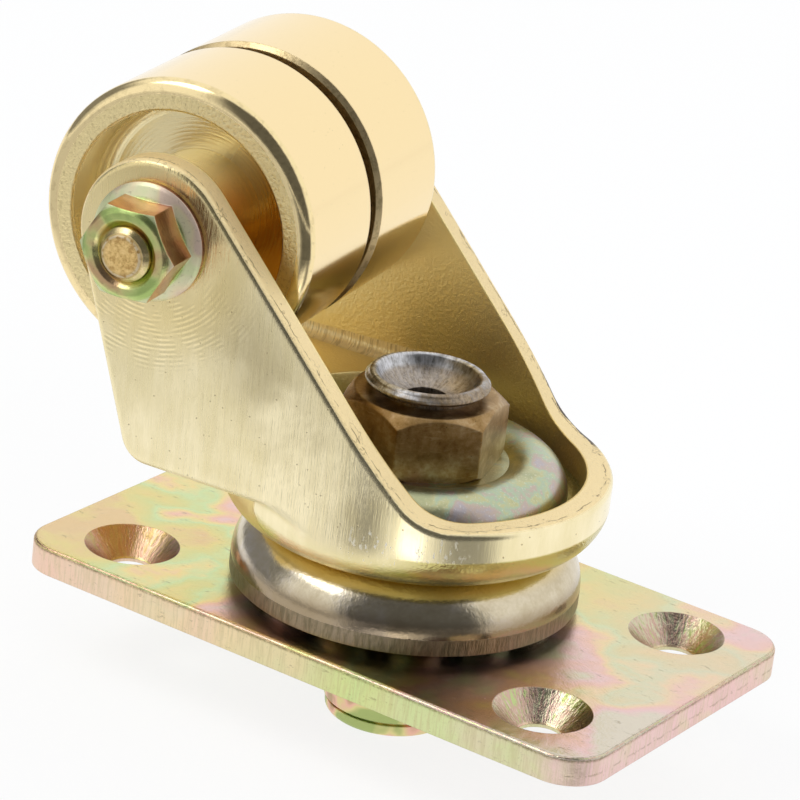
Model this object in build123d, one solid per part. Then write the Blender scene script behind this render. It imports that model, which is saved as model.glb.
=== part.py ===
from build123d import *
from math import asin, atan2, cos, degrees, hypot, radians, sin, sqrt, tan
import os

# A swivelling piano castor, shown with its mounting face down and its wheels up.
# The origin is the centre of the plate's mounting face, on the swivel axis.
# X runs along the plate, Y across it, and Z from the plate to the wheels.
# Parts of the fork are drawn trailing along -X, then turned by swivel_angle.

swivel_angle = 9.3

# Mounting plate
plate_length = 101.0
plate_width = 58.0
plate_thickness = 4.4
plate_corner_radius = 6.5
plate_rolled_edge = 0.7
screw_spacing_x = 73.8
screw_spacing_y = 36.5
screw_hole_radius = 3.3
countersink_radius = 7.2
countersink_angle = 90.0

# Clearances and sheet
race_clearance = 0.25
running_clearance = 0.06
fixed_clearance = 0.03
side_clearance = 0.3
cutter_overshoot = 1.0

# Main balls and the race cup over them
lower_ball_diameter = 9.5
lower_ball_count = 11
lower_pitch_radius = 18.5
lower_groove_depth = 1.0
cup_thickness = 2.6
cup_skirt = 2.35
cup_bore_clearance = 1.0

# Upper balls and the domed washer over them
upper_ball_diameter = 6.35
upper_ball_count = 15
upper_pitch_radius = 17.0
upper_groove_depth = 0.9
washer_thickness = 2.0
washer_rim_gap = 2.375
washer_skirt = 0.35
washer_web_drop = 1.45

# Kingpin: shank, flared end and two-step head
shank_radius = 7.0
kingpin_bore_radius = 3.2
kingpin_bore_floor = 8.0
neck_gap = 1.2
lip_radius = 9.25
lip_thickness = 1.7
lip_width = 1.3
lip_edge = 0.45
flare_root_radius = 7.6
cone_depth = 3.6
bowl_sag = 0.35
head_radius = 11.0
head_straight = 8.0
head_step_radius = 10.0
head_step_depth = 13.2
head_groove_width = 0.6
head_taper_lead = 1.0
head_groove_depth = 0.5
head_foot_radius = 9.7
head_depth = 15.8
head_foot_rounding = 1.2

# Kingpin nut
kingpin_nut_flats = 22.0
kingpin_nut_height = 9.8
kingpin_nut_corner_angle = -14.4
nut_top_land_radius = 10.6
nut_top_chamfer_angle = 40.0
nut_foot_land_radius = 11.7
nut_foot_chamfer_angle = 45.0

# Fork pressing
sheet = 4.0
pan_band_radius = 7.0
pan_wall_foot = 5.9
pan_inner_bend = 2.0
rim_height = 10.5
arm_front_reach = 12.4
arm_front_blend = 10.0
boss_radius = 11.7
rear_reach = 33.6
rear_corner_radius = 4.5
web_rear_drop = 0.9
web_front_drop = 1.9
web_front_reach = 9.0
web_blend_reach = 2.0
web_bend = 1.6
outer_edge_roll = 1.0

# Axle and wheels
axle_trail = 32.6
axle_height = 59.8
axle_radius = 4.0
sleeve_radius = 6.0
hub_washer_thickness = 1.5
hub_washer_radius = 9.0
centre_washer_thickness = 2.0
centre_washer_radius = 10.5
wheel_radius = 21.45
wheel_side_gap = 3.35
shoulder_width = 2.1
shoulder_depth = 1.6
wheel_inner_chamfer = 0.7
annulus_inner_radius = 16.8
annulus_edge_chamfer = 0.35
recess_depth = 8.5
recess_bend = 2.0
hub_radius = 9.2
hub_rounding = 0.8

# Axle nut and bolt head
axle_nut_flats = 13.0
axle_nut_turn = 0.0
axle_nut_height = 7.9
flange_radius = 8.75
flange_edge = 1.5
flange_edge_chamfer = 0.4
flange_cone_angle = 22.0
axle_nut_land_radius = 6.1
hex_chamfer_angle = 30.0
thread_entry_radius = 5.0
thread_entry_depth = 0.8
bolt_head_height = 7.4
bolt_end_reach = 1.0
bolt_end_chamfer = 1.1

# Heights and radii that follow from the sizes above
lower_ball_radius = lower_ball_diameter / 2
lower_race_radius = lower_ball_radius + race_clearance
lower_ball_height = plate_thickness - lower_groove_depth + lower_race_radius
cup_top = lower_ball_height + lower_race_radius + cup_thickness

pan_floor = cup_top + sheet
upper_ball_radius = upper_ball_diameter / 2
upper_race_radius = upper_ball_radius + race_clearance
upper_ball_height = pan_floor - upper_groove_depth + upper_race_radius
washer_crest = upper_ball_height + upper_race_radius + washer_thickness
washer_web_top = washer_crest - washer_web_drop

nut_top = washer_web_top + kingpin_nut_height
lip_underside = nut_top + neck_gap
kingpin_top = lip_underside + lip_thickness

washer_radius = upper_pitch_radius + upper_race_radius + washer_thickness
arm_inner_face = washer_radius + washer_rim_gap
fork_radius = arm_inner_face + sheet
crease_level = cup_top + pan_wall_foot
rim_level = cup_top + rim_height
axle_hole_radius = axle_radius + running_clearance
wheel_face = arm_inner_face - wheel_side_gap
hub_face = arm_inner_face - hub_washer_thickness - side_clearance
wheel_inner_face = centre_washer_thickness / 2 + side_clearance


def section(*edges):
    """A closed outline drawn in the XZ plane, as a face."""
    return Plane.XZ * make_face(Curve() + list(edges))


def turned(*edges):
    """A solid turned about the Z axis from half of its section."""
    return revolve(section(*edges), Axis.Z)


def turned_points(*points):
    """A solid turned about the Z axis from straight lines only."""
    return turned(Polyline(*points, close=True))


def round_bar(radius, low, high):
    """A plain cylinder about the Z axis between two heights."""
    return Pos(0, 0, low) * Cylinder(
        radius, high - low, align=(Align.CENTER, Align.CENTER, Align.MIN)
    )


def drilled(radius, low, high):
    """A drill about the Z axis that runs past both ends of a hole."""
    return round_bar(radius, low - cutter_overshoot, high + cutter_overshoot)


def ball_groove(pitch_radius, height, race_radius):
    """The ring that a row of balls sweeps, with its clearance."""
    return Pos(0, 0, height) * Torus(pitch_radius, race_radius)


def hexagon(flats, low, high):
    """A hexagonal bar across its flats, with a corner towards +X."""
    corner = flats / 2 / cos(radians(30))
    return Pos(0, 0, low) * extrude(RegularPolygon(corner, 6), high - low)


def chamfer_shell(land_radius, angle, low, high, flats, top):
    """The turned envelope that takes the corners off one end of a hexagonal bar."""
    corner = flats / 2 / cos(radians(30)) + cutter_overshoot
    drop = (corner - land_radius) * tan(radians(angle))
    if top:
        return turned_points((0, low), (corner, low), (corner, high - drop), (land_radius, high), (0, high))
    return turned_points((0, low), (land_radius, low), (corner, low + drop), (corner, high), (0, high))


def on_axle(shape, towards_near):
    """Places a part drawn about Z on the axle, with its Z pointing outwards."""
    turn = 90 if towards_near else -90
    return Rot(0, 0, swivel_angle) * Pos(-axle_trail, 0, axle_height) * Rot(turn, 0, 0) * shape


def on_swivel(shape):
    """Turns a part drawn along the fork to the fork's place."""
    return Rot(0, 0, swivel_angle) * shape


def mounting_plate():
    """Plate with rolled top edges, countersunk holes, a ball race and the kingpin's bore."""
    outline = RectangleRounded(plate_length, plate_width, plate_corner_radius)
    plate = extrude(outline, plate_thickness)
    plate = fillet(plate.faces().sort_by(Axis.Z)[-1].edges(), plate_rolled_edge)
    sink_depth = (countersink_radius - screw_hole_radius) / tan(radians(countersink_angle / 2))
    drill = turned_points(
        (0, -cutter_overshoot),
        (screw_hole_radius, -cutter_overshoot),
        (screw_hole_radius, plate_thickness - sink_depth),
        (countersink_radius, plate_thickness),
        (countersink_radius, plate_thickness + cutter_overshoot),
        (0, plate_thickness + cutter_overshoot),
    )
    for place in GridLocations(screw_spacing_x, screw_spacing_y, 2, 2):
        plate -= place * drill
    plate -= ball_groove(lower_pitch_radius, lower_ball_height, lower_race_radius)
    plate -= drilled(shank_radius + fixed_clearance, 0, plate_thickness)
    return plate


def kingpin():
    """Pin with a two-step head below the plate and a hollow end flared over the nut."""
    slope = (head_radius - head_step_radius) / (head_step_depth - head_straight)
    groove_foot = head_step_depth + head_groove_width
    groove_floor = head_foot_radius - head_groove_depth
    groove_slant = head_groove_width / 4
    rounding_centre = (head_foot_radius - head_foot_rounding, -head_depth + head_foot_rounding)
    crown_radius = lip_radius - lip_edge
    crown_middle = crown_radius - lip_width / 2
    cone_top = crown_radius - lip_width
    cone_top_level = kingpin_top - lip_edge
    body = turned(
        Line((0, -head_depth), (rounding_centre[0], -head_depth)),
        CenterArc(rounding_centre, head_foot_rounding, -90, 90),
        Polyline(
            (head_foot_radius, rounding_centre[1]),
            (head_foot_radius, -groove_foot),
            (groove_floor, -groove_foot + groove_slant),
            (groove_floor, -head_step_depth - groove_slant),
            (head_step_radius, -head_step_depth),
            (head_radius - slope * head_taper_lead, -head_straight - head_taper_lead),
            (head_radius, -head_straight),
            (head_radius, 0),
            (shank_radius, 0),
            (shank_radius, nut_top + neck_gap / 2),
            (flare_root_radius, lip_underside),
            (crown_radius, lip_underside),
            (lip_radius, lip_underside + lip_edge),
            (lip_radius, kingpin_top - 2 * lip_edge),
            (crown_radius, cone_top_level),
        ),
        ThreePointArc(
            (crown_radius, cone_top_level), (crown_middle, kingpin_top), (cone_top, cone_top_level)
        ),
        ThreePointArc(
            (cone_top, cone_top_level),
            ((cone_top + kingpin_bore_radius) / 2 + bowl_sag, cone_top_level - cone_depth / 2 - bowl_sag),
            (kingpin_bore_radius, kingpin_top - cone_depth),
        ),
        Polyline(
            (kingpin_bore_radius, kingpin_top - cone_depth),
            (kingpin_bore_radius, kingpin_bore_floor),
            (0, kingpin_bore_floor),
            (0, -head_depth),
        ),
    )
    return body


def kingpin_nut():
    """Thick hexagon nut, chamfered at both ends."""
    nut = hexagon(kingpin_nut_flats, washer_web_top, nut_top)
    nut &= chamfer_shell(
        nut_top_land_radius, nut_top_chamfer_angle, washer_web_top, nut_top, kingpin_nut_flats, True
    )
    nut &= chamfer_shell(
        nut_foot_land_radius, nut_foot_chamfer_angle, washer_web_top, nut_top, kingpin_nut_flats, False
    )
    nut -= drilled(shank_radius + fixed_clearance, washer_web_top, nut_top)
    return Rot(0, 0, kingpin_nut_corner_angle) * nut


def race_cup():
    """Dished ring: a flat top, a round shoulder over the balls and a short sheared skirt."""
    outer = lower_race_radius + cup_thickness
    inner = lower_race_radius
    bore = shank_radius + cup_bore_clearance
    centre = (lower_pitch_radius, lower_ball_height)
    foot = lower_ball_height - cup_skirt
    return turned(
        Line((bore, cup_top), (lower_pitch_radius, cup_top)),
        CenterArc(centre, outer, 0, 90),
        Polyline(
            (lower_pitch_radius + outer, lower_ball_height),
            (lower_pitch_radius + outer, foot),
            (lower_pitch_radius + inner, foot),
            (lower_pitch_radius + inner, lower_ball_height),
        ),
        CenterArc(centre, inner, 0, 90),
        Polyline(
            (lower_pitch_radius, lower_ball_height + inner),
            (bore, lower_ball_height + inner),
            (bore, cup_top),
        ),
    )


def dome_washer():
    """Pressed ring: a round crest over the upper balls and a flat web under the nut."""
    outer = upper_race_radius + washer_thickness
    inner = upper_race_radius
    bore = shank_radius + fixed_clearance
    centre = (upper_pitch_radius, upper_ball_height)
    foot = upper_ball_height - washer_skirt
    web_foot = washer_web_top - washer_thickness
    top_angle = degrees(asin((washer_web_top - upper_ball_height) / outer))
    foot_angle = degrees(asin((web_foot - upper_ball_height) / inner))
    top_start = upper_pitch_radius - outer * cos(radians(top_angle))
    foot_start = upper_pitch_radius - inner * cos(radians(foot_angle))
    return turned(
        Line((bore, washer_web_top), (top_start, washer_web_top)),
        CenterArc(centre, outer, 0, 180 - top_angle),
        Polyline(
            (upper_pitch_radius + outer, upper_ball_height),
            (upper_pitch_radius + outer, foot),
            (upper_pitch_radius + inner, foot),
            (upper_pitch_radius + inner, upper_ball_height),
        ),
        CenterArc(centre, inner, 0, 180 - foot_angle),
        Polyline((foot_start, web_foot), (bore, web_foot), (bore, washer_web_top)),
    )


def ball_row(name, count, pitch_radius, height, radius):
    """Balls evenly round the swivel axis, each with its node's name."""
    row = {}
    for number in range(count):
        turn = 360 * (number + 0.5) / count
        row[f"{name}_{number + 1}"] = Rot(0, 0, turn) * Pos(pitch_radius, 0, height) * Sphere(radius)
    return row


def fork_pan():
    """Round pan: flat floor, rolled band below, a crease and a low upright rim."""
    band_centre_height = cup_top + pan_band_radius
    crease_angle = degrees(asin((crease_level - band_centre_height) / pan_band_radius))
    band_centre_radius = fork_radius - pan_band_radius * cos(radians(crease_angle))
    bend_radius = arm_inner_face - pan_inner_bend
    bend_height = pan_floor + pan_inner_bend
    bore = shank_radius + running_clearance
    return turned(
        Line((bore, cup_top), (band_centre_radius, cup_top)),
        CenterArc(
            (band_centre_radius, band_centre_height), pan_band_radius, -90, crease_angle + 90
        ),
        Polyline(
            (fork_radius, crease_level),
            (fork_radius, rim_level),
            (arm_inner_face, rim_level),
            (arm_inner_face, bend_height),
        ),
        CenterArc((bend_radius, bend_height), pan_inner_bend, -90, 90),
        Polyline((bend_radius, pan_floor), (bore, pan_floor), (bore, cup_top)),
    )


def side_outline():
    """The fork's side view above the pan's crease, in X and Z."""
    axle = (-axle_trail, axle_height)
    front = (arm_front_reach, rim_level)
    rear = (-rear_reach, rim_level - web_rear_drop)

    def tangent_point(corner, side):
        """Where a line from an outer corner touches the boss circle."""
        across = corner[0] - axle[0]
        along = corner[1] - axle[1]
        distance = hypot(across, along)
        spread = side * atan2(sqrt(distance**2 - boss_radius**2), boss_radius)
        angle = atan2(along, across) + spread
        return (axle[0] + boss_radius * cos(angle), axle[1] + boss_radius * sin(angle))

    front_touch = tangent_point(front, 1)
    rear_touch = tangent_point(rear, -1)
    top = (axle[0], axle[1] + boss_radius)
    beyond = fork_radius + cutter_overshoot
    face = make_face(
        Curve()
        + [
            Polyline((beyond, crease_level), (beyond, rim_level), front, front_touch),
            ThreePointArc(front_touch, top, rear_touch),
            Polyline(
                rear_touch,
                rear,
                (-web_front_reach, rim_level - web_front_drop),
                (-web_blend_reach, crease_level),
                (beyond, crease_level),
            ),
        ]
    )
    face = fillet(face.vertices().sort_by_distance((*front, 0))[0], arm_front_blend)
    return fillet(face.vertices().sort_by_distance((*rear, 0))[0], rear_corner_radius)


def arm_hollow():
    """The space between the arms above the sloping rear web, with rounded lower corners."""
    run = rear_reach - web_front_reach
    slope = degrees(atan2(web_front_drop - web_rear_drop, run))
    web_top = rim_level - web_front_drop - web_front_reach * tan(radians(slope)) + sheet
    profile = Plane.YZ * RectangleRounded(2 * arm_inner_face, 2 * axle_height, web_bend)
    length = 2 * (axle_trail + boss_radius)
    space = Pos(-length, 0, axle_height) * extrude(profile, length)
    return Pos(0, 0, web_top) * Rot(0, slope, 0) * space


def on_outer_face(point):
    """Whether a point lies on the fork's outer face: round in front, flat beside the arms."""
    reach = hypot(point.X, point.Y) if point.X > 0 else abs(point.Y)
    return abs(reach - fork_radius) < fixed_clearance


def outer_outline(body):
    """The edges where the fork's cut edge meets its outer face, down to the pan's own wall."""
    outline = []
    for edge in body.edges():
        points = [edge.position_at(step / 4) for step in range(5)]
        box = edge.bounding_box()
        middle = edge.center()
        on_cut = middle.Z > rim_level - fixed_clearance or middle.X < -web_front_reach
        above_crease = box.max.Z > crease_level + fixed_clearance
        runs_along = box.size.X > fixed_clearance
        if on_cut and above_crease and runs_along and all(on_outer_face(point) for point in points):
            outline.append(edge)
    return outline


def fork():
    """Pan, low front rim, rear web and the two arms with their rounded ends, as one pressing."""
    top = axle_height + boss_radius + cutter_overshoot
    reach = axle_trail + boss_radius + cutter_overshoot
    plan = Circle(fork_radius) + Rectangle(
        reach, 2 * fork_radius, align=(Align.MAX, Align.CENTER)
    )
    side = extrude(Plane.XZ * side_outline(), fork_radius + cutter_overshoot, both=True)
    body = Pos(0, 0, crease_level) * extrude(plan, top - crease_level)
    body -= round_bar(arm_inner_face, pan_floor, top + cutter_overshoot)
    body -= arm_hollow()
    body &= side
    body += fork_pan()
    body = fillet(outer_outline(body), outer_edge_roll)
    body -= ball_groove(upper_pitch_radius, upper_ball_height, upper_race_radius)
    body -= Pos(-axle_trail, 0, axle_height) * Rot(90, 0, 0) * Cylinder(
        axle_hole_radius, 2 * (fork_radius + cutter_overshoot)
    )
    return body


def wheel():
    """Turned wheel: tread, round shoulder, flat annulus, deep recess, web and raised hub."""
    bore = sleeve_radius + running_clearance
    annulus_outer = wheel_radius - shoulder_width
    web_face = wheel_face - recess_depth
    bend_radius = annulus_inner_radius - recess_bend
    hub_round = hub_radius - hub_rounding
    return turned(
        Polyline(
            (bore, wheel_inner_face),
            (wheel_radius - wheel_inner_chamfer, wheel_inner_face),
            (wheel_radius, wheel_inner_face + wheel_inner_chamfer),
            (wheel_radius, wheel_face - shoulder_depth),
        ),
        EllipticalCenterArc(
            (annulus_outer, wheel_face - shoulder_depth),
            shoulder_width,
            shoulder_depth,
            start_angle=0,
            arc_size=90,
        ),
        Polyline(
            (annulus_outer, wheel_face),
            (annulus_inner_radius + annulus_edge_chamfer, wheel_face),
            (annulus_inner_radius, wheel_face - annulus_edge_chamfer),
            (annulus_inner_radius, web_face + recess_bend),
        ),
        CenterArc((bend_radius, web_face + recess_bend), recess_bend, -90, 90),
        Polyline(
            (bend_radius, web_face),
            (hub_radius, web_face),
            (hub_radius, hub_face - hub_rounding),
        ),
        CenterArc((hub_round, hub_face - hub_rounding), hub_rounding, 0, 90),
        Polyline((hub_round, hub_face), (bore, hub_face), (bore, wheel_inner_face)),
    )


def ring(inner, outer, low, high):
    """A flat ring about the Z axis."""
    return round_bar(outer, low, high) - drilled(inner, low, high)


def flanged_hexagon(height):
    """The flange, its cone and the hexagon that an M8 flange nut and bolt head share."""
    low = fork_radius
    corner = axle_nut_flats / 2 / cos(radians(30))
    rise = (flange_radius - corner * cos(radians(30))) * tan(radians(flange_cone_angle))
    skirt = turned_points(
        (0, low),
        (flange_radius - flange_edge_chamfer, low),
        (flange_radius, low + flange_edge_chamfer),
        (flange_radius, low + flange_edge - flange_edge_chamfer),
        (flange_radius - flange_edge_chamfer, low + flange_edge),
        (axle_nut_flats / 2, low + flange_edge + rise),
        (0, low + flange_edge + rise),
    )
    head = hexagon(axle_nut_flats, low, low + height)
    head &= chamfer_shell(axle_nut_land_radius, hex_chamfer_angle, low, low + height, axle_nut_flats, True)
    return skirt + head


def axle_nut():
    """M8 flange nut on the near arm, with a countersunk thread entry."""
    end = fork_radius + axle_nut_height
    nut = flanged_hexagon(axle_nut_height)
    nut -= drilled(axle_radius + fixed_clearance, fork_radius, end)
    nut -= turned_points(
        (0, end - thread_entry_depth),
        (axle_radius, end - thread_entry_depth),
        (thread_entry_radius, end),
        (thread_entry_radius, end + cutter_overshoot),
        (0, end + cutter_overshoot),
    )
    return Rot(0, 0, axle_nut_turn) * nut


def axle_bolt():
    """M8 bolt: flanged head on the far arm and a chamfered end past the nut."""
    tip = fork_radius + axle_nut_height + bolt_end_reach
    shank = turned_points(
        (0, -fork_radius),
        (axle_radius, -fork_radius),
        (axle_radius, tip - bolt_end_chamfer),
        (axle_radius - bolt_end_chamfer, tip),
        (0, tip),
    )
    return shank + Rot(180, 0, 0) * flanged_hexagon(bolt_head_height)


parts = {
    "mounting_plate": mounting_plate(),
    "kingpin": kingpin(),
    "kingpin_nut": kingpin_nut(),
    "dome_washer": dome_washer(),
    "lower_race_cup": on_swivel(race_cup()),
    "fork": on_swivel(fork()),
    "near_wheel": on_axle(wheel(), True),
    "far_wheel": on_axle(wheel(), False),
    "axle_nut": on_axle(axle_nut(), True),
    "axle_bolt": on_axle(axle_bolt(), True),
    "axle_sleeve": on_axle(
        ring(axle_hole_radius, sleeve_radius, -arm_inner_face, arm_inner_face), True
    ),
    "centre_washer": on_axle(
        ring(
            sleeve_radius + fixed_clearance,
            centre_washer_radius,
            -centre_washer_thickness / 2,
            centre_washer_thickness / 2,
        ),
        True,
    ),
}
for name, towards_near in (("near_hub_washer", True), ("far_hub_washer", False)):
    parts[name] = on_axle(
        ring(
            sleeve_radius + fixed_clearance,
            hub_washer_radius,
            arm_inner_face - hub_washer_thickness,
            arm_inner_face,
        ),
        towards_near,
    )
parts.update(
    ball_row("lower_ball", lower_ball_count, lower_pitch_radius, lower_ball_height, lower_ball_radius)
)
parts.update(
    ball_row("upper_ball", upper_ball_count, upper_pitch_radius, upper_ball_height, upper_ball_radius)
)

os.makedirs("parts", exist_ok=True)
for name, shape in parts.items():
    export_step(shape, f"parts/{name}.step")
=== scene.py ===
"""A brass-plated piano castor standing on its kingpin, plate down and wheels up."""
import logging
import math
from collections.abc import Sequence
from dataclasses import dataclass, field
from enum import Enum

import bmesh
import bpy
from mathutils import Matrix, Vector

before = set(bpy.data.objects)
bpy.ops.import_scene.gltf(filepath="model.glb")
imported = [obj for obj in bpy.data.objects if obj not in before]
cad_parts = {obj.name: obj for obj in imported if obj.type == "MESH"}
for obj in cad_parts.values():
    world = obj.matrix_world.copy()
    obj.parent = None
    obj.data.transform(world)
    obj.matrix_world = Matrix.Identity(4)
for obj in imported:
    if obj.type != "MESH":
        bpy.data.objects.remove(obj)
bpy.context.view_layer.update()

LOG = logging.getLogger("castor")

MM = 0.001
SWIVEL = math.radians(9.3)
AXLE_TRAIL = 32.6
AXLE_HEIGHT = 59.8
Triple = tuple[float, float, float]
Shade = tuple[int, int, int]
Paint = tuple[float, float, float, float]
Stops = Sequence[tuple[float, Shade]]


def paint(red: int, green: int, blue: int) -> Paint:
    """Turns a colour as it looks on a screen into the renderer's linear values.

    Args:
        red: Red from 0 to 255.
        green: Green from 0 to 255.
        blue: Blue from 0 to 255.

    Returns:
        The linear colour with full alpha.
    """
    def straight(level: int) -> float:
        """Undoes the screen's curve for one channel."""
        part = level / 255
        return part / 12.92 if part <= 0.04045 else ((part + 0.055) / 1.055) ** 2.4

    return (straight(red), straight(green), straight(blue), 1.0)


class Source(Enum):
    """Which of a piece's own vectors a pattern reads."""

    PLACE = "Object"
    FACING = "Normal"


class Signal:
    """A number that varies over a surface or from ray to ray, with the arithmetic for masks."""

    def __init__(self, bench: "Desk", socket: bpy.types.NodeSocket) -> None:
        """Wraps an output socket.

        Args:
            bench: The node tree the socket belongs to.
            socket: The output that carries the number.
        """
        self.bench = bench
        self.socket = socket

    def _math(self, operation: str, other: "Signal | float | None" = None, swap: bool = False) -> "Signal":
        """Adds one Math node.

        Args:
            operation: The node's operation.
            other: The second value, where the operation has one.
            swap: True where the other value comes first.

        Returns:
            The result as a new signal.
        """
        values: list[Signal | float] = [self] if other is None else [self, other]
        if swap:
            values.reverse()
        node = self.bench.node("ShaderNodeMath", {"operation": operation}, dict(enumerate(values)))
        return Signal(self.bench, node.outputs[0])

    def __add__(self, other: "Signal | float") -> "Signal":
        """Sum."""
        return self._math("ADD", other)

    def __radd__(self, other: float) -> "Signal":
        """Sum with a plain number first."""
        return self._math("ADD", other, True)

    def __sub__(self, other: "Signal | float") -> "Signal":
        """Difference."""
        return self._math("SUBTRACT", other)

    def __rsub__(self, other: float) -> "Signal":
        """Difference with a plain number first."""
        return self._math("SUBTRACT", other, True)

    def __mul__(self, other: "Signal | float") -> "Signal":
        """Product."""
        return self._math("MULTIPLY", other)

    def __rmul__(self, other: float) -> "Signal":
        """Product with a plain number first."""
        return self._math("MULTIPLY", other, True)

    def __truediv__(self, other: "Signal | float") -> "Signal":
        """Quotient."""
        return self._math("DIVIDE", other)

    def __abs__(self) -> "Signal":
        """Size without its sign."""
        return self._math("ABSOLUTE")

    def root(self) -> "Signal":
        """Square root."""
        return self._math("SQRT")

    def sine(self) -> "Signal":
        """Sine of an angle in radians."""
        return self._math("SINE")

    def angle_from(self, across: "Signal") -> "Signal":
        """Angle of the point (across, self) round the origin."""
        return self._math("ARCTAN2", across)

    def least(self, other: "Signal | float") -> "Signal":
        """The smaller of the two."""
        return self._math("MINIMUM", other)

    def most(self, other: "Signal | float") -> "Signal":
        """The larger of the two."""
        return self._math("MAXIMUM", other)

    def rise(self, low: float, high: float) -> "Signal":
        """A soft step from 0 at low to 1 at high.

        Args:
            low: Where the step starts.
            high: Where the step ends; below low the step falls instead.

        Returns:
            The step as a signal from 0 to 1.
        """
        start, end = (1.0, 0.0) if high < low else (0.0, 1.0)
        node = self.bench.node(
            "ShaderNodeMapRange", {"interpolation_type": "SMOOTHSTEP"},
            {0: self, 1: min(low, high), 2: max(low, high), 3: start, 4: end},
        )
        return Signal(self.bench, node.outputs[0])

    def band(self, low: float, high: float, soft: float) -> "Signal":
        """1 between two values and 0 outside, with soft ends."""
        return self.rise(low - soft, low + soft) * self.rise(high + soft, high - soft)


class Desk:
    """A node tree in the making."""

    def __init__(self, tree: bpy.types.NodeTree) -> None:
        """Takes the tree of a material or of the world."""
        self.tree = tree

    def node(self, kind: str, settings: dict[str, object], inputs: dict[int | str, object]) -> bpy.types.Node:
        """Adds a node.

        Args:
            kind: The node's type.
            settings: The node's own properties, set first; "stops" gives a ramp's colours.
            inputs: Values, signals or sockets for the inputs, by name or number.

        Returns:
            The new node.
        """
        made = self.tree.nodes.new(kind)
        for key, value in settings.items():
            if key == "stops":
                self._stops(made, value)
            else:
                setattr(made, key, value)
        for key, value in inputs.items():
            socket = made.inputs[key]
            if isinstance(value, Signal):
                self.tree.links.new(value.socket, socket)
            elif isinstance(value, bpy.types.NodeSocket):
                self.tree.links.new(value, socket)
            else:
                socket.default_value = value
        return made

    @staticmethod
    def _stops(ramp: bpy.types.Node, stops: Stops) -> None:
        """Sets a ramp's stops.

        Args:
            ramp: The ColorRamp node.
            stops: Places from 0 to 1 with their colours as on a screen.
        """
        elements = ramp.color_ramp.elements
        while len(elements) < len(stops):
            elements.new(0.5)
        for element, (place, colour) in zip(elements, stops):
            element.position = place
            element.color = paint(*colour)

    def rays(self) -> tuple[Signal, Signal, Signal]:
        """Tells rays from the camera, off a mirror and through glass from the rest."""
        path = self.node("ShaderNodeLightPath", {}, {})
        names = ("Is Camera Ray", "Is Glossy Ray", "Is Transmission Ray")
        return tuple(Signal(self, path.outputs[name]) for name in names)

    def mixed_shader(
        self, share: Signal, below: bpy.types.NodeSocket, above: bpy.types.NodeSocket,
    ) -> bpy.types.NodeSocket:
        """Mixes two shaders."""
        return self.node("ShaderNodeMixShader", {}, {0: share, 1: below, 2: above}).outputs[0]


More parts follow.
